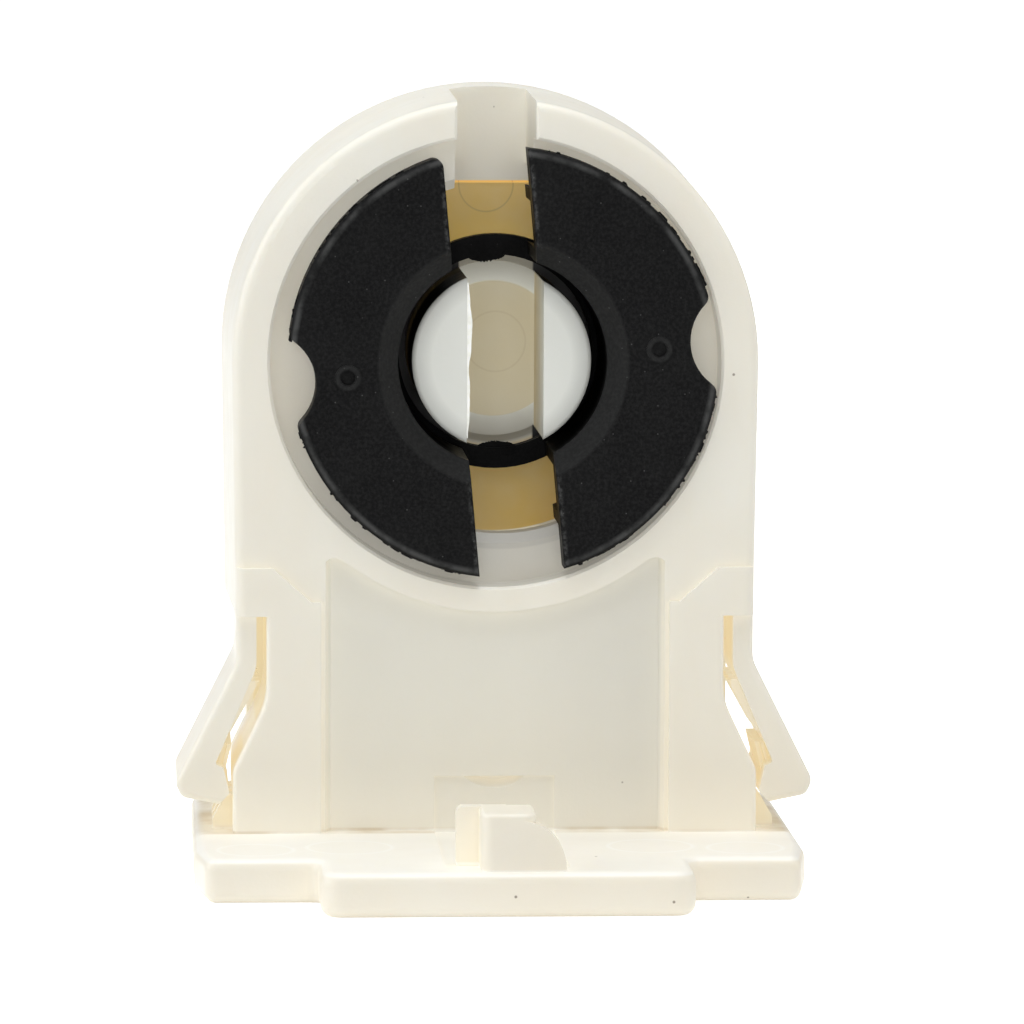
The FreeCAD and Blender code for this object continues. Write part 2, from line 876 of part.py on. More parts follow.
def make_latches():
    """Fingers on the cover's plate, each with a barb for its pocket."""
    half = latch_width / 2
    tip = cover_y - latch_length
    outline = [
        (-cover_clearance - latch_thickness, tip, 0),
        (-cover_clearance, tip, 0),
        (latch_barb, tip + latch_barb_length / 2, 0),
        (latch_barb, tip + latch_barb_length, 0),
        (-cover_clearance, tip + latch_barb_length, 0),
        (-cover_clearance, cover_y + overlap, 0),
        (-cover_clearance - latch_thickness, cover_y + overlap, 0),
    ]
    return [set_at(plan_prism(outline, -half, half), place) for place in latch_places()]


def make_rear_cover():
    """Back plate with the channel's floor, the slotted boss and the latches."""
    room = slot_housing().BoundBox
    notch = block(
        room.XMin - floor_clearance,
        room.XMax + floor_clearance,
        floor_y - overrun,
        room.YMax + floor_clearance,
        room.ZMin - floor_clearance,
        axis_height + head_radius,
    )
    pad = on_rotor_axis(rod(channel_radius - floor_clearance, floor_y, cover_y + overlap)).cut(notch)
    boss_y = face_y + boss_front
    half = boss_slot / 2
    boss = rod(boss_radius, boss_y, floor_y + overlap)
    boss = boss.makeFillet(boss_round, edges_where(boss, lambda edge: lies_at_y(edge, boss_y)))
    left = boss_slot_offset - half
    right = boss_slot_offset + half
    boss = boss.cut(block(left, right, boss_y - overrun, boss_slot_y, axis_height - far, axis_height + far))
    pedestal = rod(pedestal_radius, boss_slot_y - pedestal_rise, floor_y + overlap)
    middle = on_rotor_axis(fused([boss, pedestal]))
    return fused([cover_outline(cover_clearance), pad, middle] + make_latches())


def leaf_path(shift):
    """Middle line of the riser and the leaf, from the bridge up round the pin channel."""
    start = polar(leaf_radius, leaf_start_angle)
    half = (leaf_bump_start_angle - leaf_start_angle) / 2
    arc = polar(leaf_radius / math.cos(math.radians(half)), leaf_start_angle + half)
    bump_in = math.radians(leaf_bump_start_angle)
    arc_end = polar(leaf_radius, leaf_bump_start_angle)
    dip = (arc_end[0] + bend * math.cos(bump_in), arc_end[1] + bend * math.sin(bump_in))
    rise = (dip[0], 2 * axis_height - dip[1])
    last_half = (leaf_end_angle - leaf_bump_end_angle) / 2
    last = polar(leaf_radius / math.cos(math.radians(last_half)), leaf_bump_end_angle + last_half)
    path = [
        (start[0], bridge_height, 0),
        (*start, bend),
        (*arc, leaf_radius),
        (*dip, bend),
        (leaf_bump_radius, axis_height, bend),
        (*rise, bend),
        (*last, leaf_radius),
        (*polar(leaf_radius, leaf_end_angle), 0),
    ]
    return [(x + shift, z, radius) for x, z, radius in path]


def make_contact(shift):
    """Right contact: leaf, riser and a clamp for two wires. The leaf moves with the rotor's axis."""
    path = leaf_path(shift)
    riser = path[0][0]
    top = bridge_height + riser_foot
    clamp = [
        (leg_x, clamp_leg_bottom, 0),
        (leg_x, bridge_height, bend),
        (riser, bridge_height, bend),
        (riser, top, 0),
    ]
    tab = [(riser, top - bend, 0), (riser, tab_low, bend), (leg_x - tab_reach, tab_tip, 0)]
    tab_width = (clamp_width - clamp_tab_gap) / 2
    far_tab_y = clamp_y + tab_width + clamp_tab_gap
    return fused(
        [
            strip_prism(path, leaf_y, floor_y - leaf_back_gap),
            strip_prism(clamp, clamp_y, clamp_y + clamp_width),
            strip_prism(tab, clamp_y, clamp_y + tab_width),
            strip_prism(tab, far_tab_y, far_tab_y + tab_width),
        ]
    )


def main():
    os.makedirs("parts", exist_ok=True)
    nodes = {
        "body": make_body(),
        "rotor": make_rotor(),
        "rear_cover": make_rear_cover(),
        "right_contact": make_contact(rotor_offset),
        "left_contact": mirrored(make_contact(-rotor_offset)),
    }
    for name, shape in nodes.items():
        shape.translate(point(0, 0, flange_thickness))
        print(name, len(shape.Solids), shape.isValid(), round(shape.Volume, 2))
        shape.exportStep("parts/" + name + ".step")


main()
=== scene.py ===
"""Rotary holder for the two-pin cap of a fluorescent tube: finishes, moulding flash and studio.

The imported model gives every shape. This file dresses it with procedural finishes, adds the thin
flash and the ejector marks that the mouldings carry, and sets up the floor, the lamps and the camera.
"""

import json
import math
import random

import bmesh
import bpy
from bpy.props import FloatProperty, FloatVectorProperty, IntProperty, PointerProperty
from mathutils import Euler, Matrix, Vector


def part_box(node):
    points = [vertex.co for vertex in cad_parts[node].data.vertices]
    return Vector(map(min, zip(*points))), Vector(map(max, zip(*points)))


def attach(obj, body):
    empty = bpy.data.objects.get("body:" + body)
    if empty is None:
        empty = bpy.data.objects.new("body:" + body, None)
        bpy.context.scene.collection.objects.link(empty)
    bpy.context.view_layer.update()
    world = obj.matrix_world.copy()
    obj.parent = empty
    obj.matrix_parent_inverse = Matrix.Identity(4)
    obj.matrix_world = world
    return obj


bl_info = {
    "name": "Tube lamp holder",
    "version": (1, 0, 0),
    "blender": (4, 5, 0),
    "location": "3D View > Sidebar > Lamp holder",
    "description": "Finishes, flash and studio for a push-through rotary tube holder",
    "category": "Object",
}

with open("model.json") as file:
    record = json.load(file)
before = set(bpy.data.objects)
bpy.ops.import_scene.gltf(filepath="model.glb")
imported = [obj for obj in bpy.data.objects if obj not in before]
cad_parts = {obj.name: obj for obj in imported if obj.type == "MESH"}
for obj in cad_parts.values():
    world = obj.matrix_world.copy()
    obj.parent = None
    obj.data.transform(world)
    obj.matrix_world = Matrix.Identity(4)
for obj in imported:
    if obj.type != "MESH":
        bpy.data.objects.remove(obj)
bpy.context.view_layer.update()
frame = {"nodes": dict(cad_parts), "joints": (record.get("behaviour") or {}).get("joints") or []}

MM = 0.001
lean = math.radians(5.2)
axis_place = Vector(frame["joints"][0]["pos_m"])
rotor_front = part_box("rotor")[0][1]
rotor_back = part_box("rotor")[1][1]
boss_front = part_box("rear_cover")[0][1]
cover_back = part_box("rear_cover")[1][1]
channel_floor = cover_back - 0.0022

# Edges of painted areas, in metres: where the colour is still off, where it is full, and, if they
# aren't nothing and all, the shares of colour at both places

# Body
# Painted shade on the recessed front panel, stronger towards its top and towards its right
panel_side = (0.0075, 0.0071)
panel_front = (-0.00005, 0.00015)
panel_back = (0.00055, 0.00035)
panel_height = (0.0020, 0.0090, 0.35, 1.0)
panel_right = (0.001, 0.0062, 0.0, 0.16)
foot_height = (0.014, 0.004, 0.0, 0.5)
# Painted shade in the rotor's recess, darker towards its bottom
recess_rim = (0.0101, 0.0099)
recess_front = (0.0, 0.0012)
recess_height = (axis_place.z - 0.002, axis_place.z - 0.007, 0.0, 0.4)
# Painted shade on a band of the recess's ledge, low down
lip_rim = (0.00830, 0.00822)
lip_height = (axis_place.z - 0.005, axis_place.z - 0.007, 0.0, 0.3)
# Painted warm shade between the foot and the snap arms
tan_front = (0.0, 0.0006)
tan_back = (0.0085, 0.0075)
tan_soft = 0.1 * MM
tan_soft_low = 0.4 * MM
# Places of painted warm shade between the foot and the arms: reach sideways, reach upward and share of
# colour
tan_places = [
    ((0.0096, 0.01035), (0.0060, 0.0116), 0.55),
    ((0.0108, 0.0124), (0.0036, 0.0057), 0.5),
    ((0.0112, 0.0130), (0.0018, 0.0034), 0.4),
]
# Painted light on the flange's top
flange_low = (0.00168, 0.00176)
flange_high = (0.00198, 0.00192)
flange_share = 0.4
# Round marks on the flange: place sideways, place in depth and radius
flange_marks = [(0.0104, -0.0052, 0.0016), (0.0064, -0.0046, 0.0018)]
mark_low = (0.0018, 0.00189)
mark_disc_soft = 0.12 * MM
mark_disc_share = 0.25
# Pale rim of each mark: a painted highlight
mark_rim_width = 0.16 * MM
mark_rim_share = 0.35
# Painted shade in the inner corner where the panel meets the flange
corner_shade_low = (0.0018, 0.0019)
corner_shade_high = (0.00204, 0.00196)
corner_shade_front = (-0.0008, -0.0006)

# Rear cover
boss_slot_middle = axis_place.x + 0.00015
inside_cover = (channel_floor + 0.0009, channel_floor + 0.0006)
behind_boss = (channel_floor - 0.0009, channel_floor - 0.0003)
back_face = (cover_back - 0.0012, cover_back - 0.0008)
# Painted warm shade on the floor of the pin channel and on the pad in the boss's slot
channel_rim = (0.00825, 0.0081)
channel_start = (0.0042, 0.0046)
disc_rim = (0.00302, 0.00296)
# Painted shade at both ends of the boss's slot, darker towards the ring
hollow_start = (0.0029, 0.0040, 0.0, 0.72)
hollow_rim = (0.0043, 0.00415)
# Painted shade on the walls of the boss's slot, stronger deeper in
wall_side = (0.00172, 0.00168)
wall_back = (channel_floor - 0.0009, channel_floor - 0.0011)
wall_depth = (boss_front + 0.0008, channel_floor - 0.0015, 0.0, 0.85)
# Painted shade on the edges of the boss's face
boss_edge_shade = (0.0030, 0.0039, 0.0, 0.4)
boss_face = (boss_front + 0.0012, boss_front + 0.0009)
# Painted shadow in the narrow gap round the boss and on the boss's side wall
beyond_slot = (0.0016, 0.00168)
gap_start = (0.0038, 0.00385)
gap_rim = (0.0048, 0.0046)
gap_depth = (boss_front + 0.0003, boss_front + 0.0007)
ejector_share = 0.35
ejector_core = 0.3
# Round ejector marks: place across, place upward, radius and width of the line
ejector_marks = [
    (axis_place.x + 0.0001, axis_place.z + 0.0003, 0.00133, 0.00006),
    (axis_place.x - 0.0003, axis_place.z + 0.0072, 0.0012, 0.00005),
]

# Rotor
# Patchy painted highlight on the bevel at the rim of the rotor's plates
rim_highlight_start = (0.00885, 0.00900)
rim_highlight_rim = (0.00918, 0.00908)
sink_rim = (0.00545, 0.0053)
sink_depth = (rotor_front + 0.0011, rotor_front + 0.0009, 0.0, 0.07)
# Painted highlight round the raised ring of each dimple
dimple_place = 0.0067
dimple_rim = (0.00062, 0.0005)
dimple_start = (0.00030, 0.00040, 0.0, 0.07)
dimple_depth = (rotor_front + 0.0003, rotor_front + 0.0002)
rubbed_side = (0.00208, 0.00190)
rubbed_depth = (rotor_front + 0.0003, rotor_front + 0.0001)
inside_rotor = (rotor_front + 0.0012, rotor_front + 0.0020)

# Noise patterns: scale, detail, roughness and distortion, then the range of the noise that is used
# and the values that it is spread to
warm_clouds = (90.0, 3.0), (0.35, 0.7, 0.0, 0.5)
flow_lines = (420.0, 4.0, 0.55, 0.6)
flow_tint = (0.45, 0.75, 0.0, 0.25)
corner_shade_patches = (500.0, 2.0), (0.35, 0.65, 0.1, 0.6)
body_gloss = (700.0, 2.0)
body_grain = (6500.0, 2.0)
tan_patches = (260.0, 3.0, 0.6), (0.3, 0.7, 0.8, 1.0)
back_haze = (130.0, 3.0, 0.6), (0.35, 0.7, 0.0, 0.5)
back_streaks = (500.0, 4.0, 0.55, 0.5), (0.45, 0.75, 0.0, 0.3)
cover_gloss = (900.0, 2.0)
cover_grain = (5200.0, 3.0)
fin_patches = (2500.0, 3.0), (0.3, 0.7)
black_haze = (300.0, 4.0, 0.6), (0.45, 0.8, 0.0, 0.02)
black_mottle = (6500.0, 3.0, 0.6), (0.4, 0.7, 0.0, 0.05)
rim_highlight_patches = (900.0, 3.0), (0.35, 0.6, 0.04, 0.32)
rubbed_patches = (3200.0, 4.0, 0.7), (0.45, 0.7, 0.0, 0.5)
black_gloss = (500.0, 3.0)
black_grain = (5200.0, 4.0, 0.65)
roll_lines = (900.0, 2.0)
tarnish_patches = (600.0, 3.0), (0.45, 0.75, 0.0, 0.8)
gloss_range = (0.3, 0.7)
black_gloss_range = (0.3, 0.75)

# How far the roughness wanders below and above its setting, and the strip's whole range
body_rub = (-0.05, 0.08)
cover_rub = (-0.04, 0.1)
black_rub = (-0.08, 0.12)
strip_rub = (0.28, 0.42)

# Stretch of the noise along each axis
flow_stretch = (1.0, 1.0, 0.25)
streak_stretch = (1.0, 1.0, 0.2)
roll_stretch = (1.0, 1.0, 18.0)

# Specks: scale of the pattern, size of a speck in it and share of the cells that hold one
body_specks = (620.0, 0.046, 0.45)
body_speck_share = 0.8
black_dust = (5200.0, 0.2, 0.05)
black_dust_share = 0.3

# Bumps: height in metres and strength
flow_bump = (0.00006, 0.25)
body_bump = (0.000012, 0.35)
cover_bump = (0.000015, 0.35)
black_bump_strength = 0.6
roll_bump = (0.000006, 0.4)

# Light inside the pale plastics: weight, reach of each colour and scale; and their painted glow
body_light = (0.12, (1.0, 0.8, 0.5), 1.2 * MM)
body_glow_reach = 3.0 * MM
cover_light = (0.08, (1.0, 0.85, 0.6), 1.0 * MM)
cover_glow_reach = 4.0 * MM
cover_glow_share = 0.9
# Painted glow of the boss's flash
fin_glow = 0.2

# Flash: a ragged edge jumps to a new height with this chance, and jitters by this share of its reach
jump_chance = 0.35
jitter = 0.12

# Fins on the rotor: where each starts and ends, as turns from straight up in radians, and for the rim
# how calm it is
rim_fins = [
    ("left_rim_flash_high", -1.38, -0.26, 1.0),
    ("left_rim_flash_low", -2.88, -1.80, 1.6),
    ("right_rim_flash_high", 0.24, 1.33, 2.2),
    ("right_rim_flash_low", 1.80, 2.90, 1.4),
]
ring_fins = [("ring_flash_top", -0.28, 0.10), ("ring_flash_bottom", 2.93, 3.32)]
rim_steps = 150
ring_steps = 40
ring_swell = 0.6
ring_least = 0.75
boss_steps = 70
fin_root = 0.0001
rim_fin_depth = 0.00028
ring_fin_depth = 0.00075
boss_fin_depth = 0.00012
boss_slot_edge = axis_place.x - 0.0015
boss_fin_low = axis_place.z - 0.00335
boss_fin_length = 0.0067
boss_fin_least = 0.00004
boss_fin_noise = 0.08
boss_fin_seed = 4
# Waves of the boss's fin, from the top down: place along it and level
boss_waves = [
    (0.0, 0.1),
    (0.12, 0.45),
    (0.27, 1.0),
    (0.43, 0.75),
    (0.55, 0.15),
    (0.66, 0.45),
    (0.85, 0.4),
    (1.0, 0.0),
]

# Lamps: place in metres, size in metres and share of the key lamp's power
plain_lamps = {
    "front_lamp": ((-0.04, -0.55, 0.14), 0.28, 0.45),
    "right_lamp": ((0.50, -0.10, 0.20), 0.35, 0.4),
}
cool_lamps = {
    "left_lamp": ((-0.50, -0.05, 0.20), 0.35, 1.1),
    "top_lamp": ((0.0, -0.05, 0.5), 0.4, 1.75),
}


# Settings

class HolderMouldings(bpy.types.PropertyGroup):
    """Colours and surface of the two pale mouldings."""

    cream: FloatVectorProperty(
        name="Cream", description="Main colour of the body", subtype="COLOR", size=3, min=0.0, max=1.0,
        default=(0.80, 0.775, 0.685),
    )
    cream_warm: FloatVectorProperty(
        name="Warm cream", description="Colour of the yellower clouds in the body", subtype="COLOR",
        size=3, min=0.0, max=1.0, default=(0.78, 0.715, 0.585),
    )
    cover_white: FloatVectorProperty(
        name="Cover white", description="Colour of the rear cover and its boss", subtype="COLOR", size=3,
        min=0.0, max=1.0, default=(0.745, 0.75, 0.69),
    )
    # Painted highlight on the thin flash on the boss
    fin_highlight: FloatVectorProperty(
        name="Fin highlight", description="Palest colour of the thin flash on the boss", subtype="COLOR",
        size=3, min=0.0, max=1.0, default=(0.96, 0.96, 0.93),
    )
    cover_haze: FloatVectorProperty(
        name="Cover haze", description="Warmer clouds and flow lines on the back of the rear cover",
        subtype="COLOR", size=3, min=0.0, max=1.0, default=(0.66, 0.64, 0.56),
    )
    # Painted warm shade on the floor of the pin channel
    channel_shade_tan: FloatVectorProperty(
        name="Channel tan", description="Colour of the floor of the pin channel", subtype="COLOR",
        size=3, min=0.0, max=1.0, default=(0.91, 0.63, 0.155),
    )
    # Painted shade of the recessed front panel, mixed in more towards its top
    panel_painted_shade: FloatVectorProperty(
        name="Panel", description="Duller colour of the finely etched front panel", subtype="COLOR",
        size=3, min=0.0, max=1.0, default=(0.725, 0.70, 0.61),
    )
    # Painted shade: low in the rotor's recess, on a band of its ledge and at the panel's right
    recess_shade: FloatVectorProperty(
        name="Recess shade", description="Greyer colour low in the rotor's recess", subtype="COLOR",
        size=3, min=0.0, max=1.0, default=(0.36, 0.345, 0.315),
    )
    # Painted warm shade on the plastic between the foot and the snap arms
    gap_shade_tan: FloatVectorProperty(
        name="Gap tan", description="Colour of the plastic between the foot and the snap arms",
        subtype="COLOR", size=3, min=0.0, max=1.0, default=(0.80, 0.69, 0.44),
    )
    # Painted highlight on the rims of the flange's round marks and painted light on the flange's top
    rim_and_top_highlight: FloatVectorProperty(
        name="Rim and top highlight", description="Pale rim of the round marks on the flange", subtype="COLOR",
        size=3, min=0.0, max=1.0, default=(0.93, 0.93, 0.90),
    )
    # Painted shade in the inner corner where the panel meets the flange
    seam: FloatVectorProperty(
        name="Seam", description="Colour of the browner line where the panel meets the flange",
        subtype="COLOR", size=3, min=0.0, max=1.0, default=(0.55, 0.44, 0.27),
    )
    # Painted warm shade on the round pad inside the boss's slot
    disc_shade_tan: FloatVectorProperty(
        name="Disc tan", description="Colour of the round pad inside the boss's slot", subtype="COLOR",
        size=3, min=0.0, max=1.0, default=(0.70, 0.505, 0.105),
    )
    # Painted shade low on the walls of the boss's slot
    wall_shade_tan: FloatVectorProperty(
        name="Wall tan", description="Colour low on the walls of the boss's slot", subtype="COLOR",
        size=3, min=0.0, max=1.0, default=(0.50, 0.40, 0.20),
    )
    # Painted shade at both ends of the boss's slot
    hollow_shade: FloatVectorProperty(
        name="Hollow shade", description="Greyer colour at both ends of the boss's slot",
        subtype="COLOR", size=3, min=0.0, max=1.0, default=(0.235, 0.205, 0.135),
    )
    mark: FloatVectorProperty(
        name="Mark", description="Colour of the round ejector marks", subtype="COLOR", size=3, min=0.0,
        max=1.0, default=(0.40, 0.30, 0.14),
    )
    # Painted shadow in the narrow gap round the boss, also used for painted shade on the boss's edges
    gap_shade: FloatVectorProperty(
        name="Gap shade", description="Colour deep in the narrow gap round the boss", subtype="COLOR",
        size=3, min=0.0, max=1.0, default=(0.01, 0.01, 0.01),
    )
    # Strength of the painted glow in the plastic's shaded corners
    painted_glow: FloatProperty(
        name="Painted glow", description="Light that comes through the plastic in its corners", min=0.0,
        default=0.27,
    )
    speck: FloatVectorProperty(
        name="Speck", description="Colour of the few dark specks in the body", subtype="COLOR", size=3,
        min=0.0, max=1.0, default=(0.16, 0.12, 0.08),
    )
    roughness: FloatProperty(
        name="Roughness", description="Roughness of the pale mouldings", subtype="FACTOR", min=0.0,
        max=1.0, default=0.42,
    )


class HolderRotor(bpy.types.PropertyGroup):
    """Colour, surface and flash of the rotor."""

    black: FloatVectorProperty(
        name="Black", description="Main colour of the rotor", subtype="COLOR", size=3, min=0.0, max=1.0,
        default=(0.0026, 0.0026, 0.0027),
    )
    # Colour of the fine dust, also used for the painted highlights on the rotor
    dust_and_sheen: FloatVectorProperty(
        name="Dust and sheen", description="Colour of the fine dust on the rotor", subtype="COLOR", size=3,
        min=0.0, max=1.0, default=(0.16, 0.16, 0.155),
    )
    shade: FloatProperty(
        name="Shade", description="How much darker the rotor is inside", subtype="FACTOR", min=0.0,
        max=1.0, default=0.7,
    )
    roughness: FloatProperty(
        name="Roughness", description="Roughness of the rotor's face", subtype="FACTOR", min=0.0,
        max=1.0, default=0.5,
    )
    grain: FloatProperty(
        name="Grain", description="Height of the rotor's fine texture", subtype="DISTANCE",
        unit="LENGTH", min=0.0, max=0.0002, precision=6, default=0.00003,
    )


class HolderFlash(bpy.types.PropertyGroup):
    """Thin flash that the moulds leave on the rotor and the boss."""

    rim_radius: FloatProperty(
        name="Rim radius", description="Radius that the rotor's rim flash grows from",
        subtype="DISTANCE", unit="LENGTH", min=0.001, precision=5, default=0.00920,
    )
    rim_reach: FloatProperty(
        name="Rim reach", description="Most that the rotor's rim flash stands out", subtype="DISTANCE",
        unit="LENGTH", min=0.0, precision=5, default=0.00014,
    )
    ring_radius: FloatProperty(
        name="Ring radius", description="Inner radius of the rotor's end ring", subtype="DISTANCE",
        unit="LENGTH", min=0.001, precision=5, default=0.00425,
    )
    ring_reach: FloatProperty(
        name="Ring reach", description="Most that flash hangs into the end ring", subtype="DISTANCE",
        unit="LENGTH", min=0.0, precision=5, default=0.00033,
    )
    boss_reach: FloatProperty(
        name="Boss reach", description="Most that flash stands out of the boss's slot edge",
        subtype="DISTANCE", unit="LENGTH", min=0.0, precision=5, default=0.00018,
    )
    thickness: FloatProperty(
        name="Thickness", description="Thickness of the flash", subtype="DISTANCE", unit="LENGTH",
        min=0.00001, precision=5, default=0.00012,
    )
    seed: IntProperty(
        name="Seed", description="Shape of the ragged edges", min=0, default=7,
    )


class HolderContacts(bpy.types.PropertyGroup):
    """Colour and surface of the contact strips."""

    bronze: FloatVectorProperty(
        name="Bronze", description="Colour of the rolled strip", subtype="COLOR", size=3, min=0.0,
        max=1.0, default=(0.80, 0.44, 0.16),
    )
    tarnish: FloatVectorProperty(
        name="Tarnish", description="Colour of the strip's darker patches", subtype="COLOR", size=3,
        min=0.0, max=1.0, default=(0.46, 0.22, 0.08),
    )


class HolderStudio(bpy.types.PropertyGroup):
    """Floor, lamps and camera."""

    floor_radius: FloatProperty(
        name="Floor radius", description="Radius of the round floor", subtype="DISTANCE", unit="LENGTH",
        min=0.1, default=3.0,
    )
    ambient: FloatProperty(
        name="Ambient", description="Strength of the even light from all round", min=0.0, default=0.44,
    )
    lamp_power: FloatProperty(
        name="Lamp power", description="Power of the key lamp", subtype="POWER", unit="POWER", min=0.0,
        default=1.0,
    )
    cool_light: FloatVectorProperty(
        name="Cool light", description="Colour of the lamps at the left and above", subtype="COLOR",
        size=3, min=0.0, max=1.0, default=(0.93, 0.96, 1.0),
    )
    camera_place: FloatVectorProperty(
        name="Camera place", description="Where the camera stands", subtype="TRANSLATION", unit="LENGTH",
        size=3, default=(-0.01504, -0.27322, 0.04372),
    )
    camera_heading: FloatProperty(
        name="Camera heading", description="How far the view turns to the right", subtype="ANGLE",
        unit="ROTATION", default=0.0576,
    )
    camera_tilt: FloatProperty(
        name="Camera tilt", description="How far the view looks down", subtype="ANGLE", unit="ROTATION",
        default=0.1019,
    )
    camera_roll: FloatProperty(
        name="Camera roll", description="Turn of the picture in its plane", subtype="ANGLE",
        unit="ROTATION", default=0.0038,
    )
    camera_lens: FloatProperty(
        name="Lens", description="Focal length on a 36 mm frame, in millimetres", min=1.0, default=224.8,
    )


# Helpers for the finishes

def set_node(tree, kind, inputs=None, **settings):
    """Add a node, with its settings by name and its sockets by name or number."""
    made = tree.nodes.new(kind)
    for name, value in settings.items():
        setattr(made, name, value)
    for name, value in (inputs or {}).items():
        socket = made.inputs[name]
        if isinstance(value, bpy.types.NodeSocket):
            tree.links.new(value, socket)
        elif socket.type == "RGBA":
            socket.default_value = (*value, 1.0)
        else:
            socket.default_value = value
    return made


def new_finish(name):
    """Empty material; returns the material, its tree, its Principled shader and the Object coordinates."""
    material = bpy.data.materials.new(name)
    material.use_nodes = True
    tree = material.node_tree
    shader = tree.nodes["Principled BSDF"]
    coordinates = set_node(tree, "ShaderNodeTexCoord").outputs["Object"]
    return material, tree, shader, coordinates


def cloud(tree, coordinates, scale, detail=2.0, roughness=0.5, distortion=0.0):
    """Soft noise, 0 to 1."""
    inputs = {
        "Vector": coordinates,
        "Scale": scale,
        "Detail": detail,
        "Roughness": roughness,
        "Distortion": distortion,
    }
    return set_node(tree, "ShaderNodeTexNoise", inputs).outputs["Fac"]


def ramp(tree, value, start, end, low=0.0, high=1.0):
    """Value from start to end, spread from low to high."""
    inputs = {"Value": value, "From Min": start, "From Max": end, "To Min": low, "To Max": high}
    return set_node(tree, "ShaderNodeMapRange", inputs).outputs["Result"]


def arithmetic(tree, operation, first, second=0.0):
    return set_node(tree, "ShaderNodeMath", {0: first, 1: second}, operation=operation).outputs["Value"]


def product(tree, first, *others):
    for other in others:
        first = arithmetic(tree, "MULTIPLY", first, other)
    return first


def distance(tree, value, place):
    return arithmetic(tree, "ABSOLUTE", arithmetic(tree, "SUBTRACT", value, place))


def length(tree, side, rise):
    """Length of the line that goes so far to the side and so far up."""
    square = arithmetic(tree, "ADD", product(tree, side, side), product(tree, rise, rise))
    return arithmetic(tree, "SQRT", square)


def mixed(tree, factor, first, second):
    return set_node(tree, "ShaderNodeMix", {0: factor, 6: first, 7: second}, data_type="RGBA").outputs[2]


def area(tree, *edges):
    """Share of colour inside all of the edges, each given as a value and its edge."""
    return product(tree, *[ramp(tree, value, *edge) for value, edge in edges])


def patches(tree, coordinates, noise, spread):
    """Noise with one range of it spread out."""
    return ramp(tree, cloud(tree, coordinates, *noise), *spread)


def stretched(tree, coordinates, scale):
    return set_node(tree, "ShaderNodeMapping", {"Vector": coordinates, "Scale": scale}).outputs["Vector"]


def specks(tree, coordinates, scale, size, share):
    """Round specks: one in each cell of the pattern, kept only in a share of the cells."""
    cells = set_node(tree, "ShaderNodeTexVoronoi", {"Vector": coordinates, "Scale": scale})
    inside = ramp(tree, cells.outputs["Distance"], size, size * 0.6)
    chance = set_node(tree, "ShaderNodeSeparateColor", {"Color": cells.outputs["Color"]}).outputs["Red"]
    kept = arithmetic(tree, "LESS_THAN", chance, share)
    return product(tree, inside, kept)


def raised(tree, height, distance_m, strength, normal=None):
    inputs = {"Height": height, "Distance": distance_m, "Strength": strength}
    if normal:
        inputs["Normal"] = normal
    return set_node(tree, "ShaderNodeBump", inputs).outputs["Normal"]


def split(tree, coordinates):
    parts = set_node(tree, "ShaderNodeSeparateXYZ", {"Vector": coordinates}).outputs
    return parts["X"], parts["Y"], parts["Z"]


def from_axis(tree, across, up):
    """Sideways and upward distance from the lamp axis, and the straight distance."""
    side = arithmetic(tree, "SUBTRACT", across, axis_place.x)
    rise = arithmetic(tree, "SUBTRACT", up, axis_place.z)
    return side, rise, length(tree, side, rise)


def set_colour(tree, shader, colour):
    tree.links.new(colour, shader.inputs["Base Color"])


def set_gloss(tree, shader, coordinates, noise, spread, middle, rub):
    """Roughness that wanders round its setting."""
    spread = (*spread, *[middle + change for change in rub])
    tree.links.new(patches(tree, coordinates, noise, spread), shader.inputs["Roughness"])


def set_light_inside(shader, weight, radius, scale):
    """Light that spreads under the surface of the plastic."""
    shader.inputs["Subsurface Weight"].default_value = weight
    shader.inputs["Subsurface Radius"].default_value = radius
    shader.inputs["Subsurface Scale"].default_value = scale


def painted_glow(tree, shader, colour, reach, strength):
    """Painted glow: emission in the shaded corners, in the plastic's own colour, standing in for the warm
    light that thin plastic lets through.
    """
    shut = set_node(tree, "ShaderNodeAmbientOcclusion", {"Distance": reach}, samples=8).outputs["AO"]
    shaded = arithmetic(tree, "SUBTRACT", 1.0, shut)
    tree.links.new(product(tree, shaded, strength), shader.inputs["Emission Strength"])
    tree.links.new(colour, shader.inputs["Emission Color"])


# Finishes

def paint_flange(tree, colour, settings, beside, deep, up):
    """Round marks on the flange with a painted highlight on their rims, and painted light that makes the
    flange's top paler.
    """
    for centre_x, centre_y, mark_radius in flange_marks:
        aside = arithmetic(tree, "SUBTRACT", beside, centre_x)
        back = arithmetic(tree, "SUBTRACT", deep, centre_y)
        away = length(tree, aside, back)
        level = area(tree, (up, mark_low), (up, flange_high))
        disc = ramp(tree, away, mark_radius, mark_radius - mark_disc_soft)
        colour = mixed(tree, product(tree, disc, level, mark_disc_share), colour, settings.cream_warm)
        # Painted highlight on the mark's rim
        rim = ramp(tree, distance(tree, away, mark_radius), mark_rim_width, 0.0)
        colour = mixed(tree, product(tree, rim, level, mark_rim_share), colour, settings.rim_and_top_highlight)
    # Painted light on the flange's top
    top = product(tree, area(tree, (up, flange_low), (up, flange_high)), flange_share)
    return mixed(tree, top, colour, settings.rim_and_top_highlight)


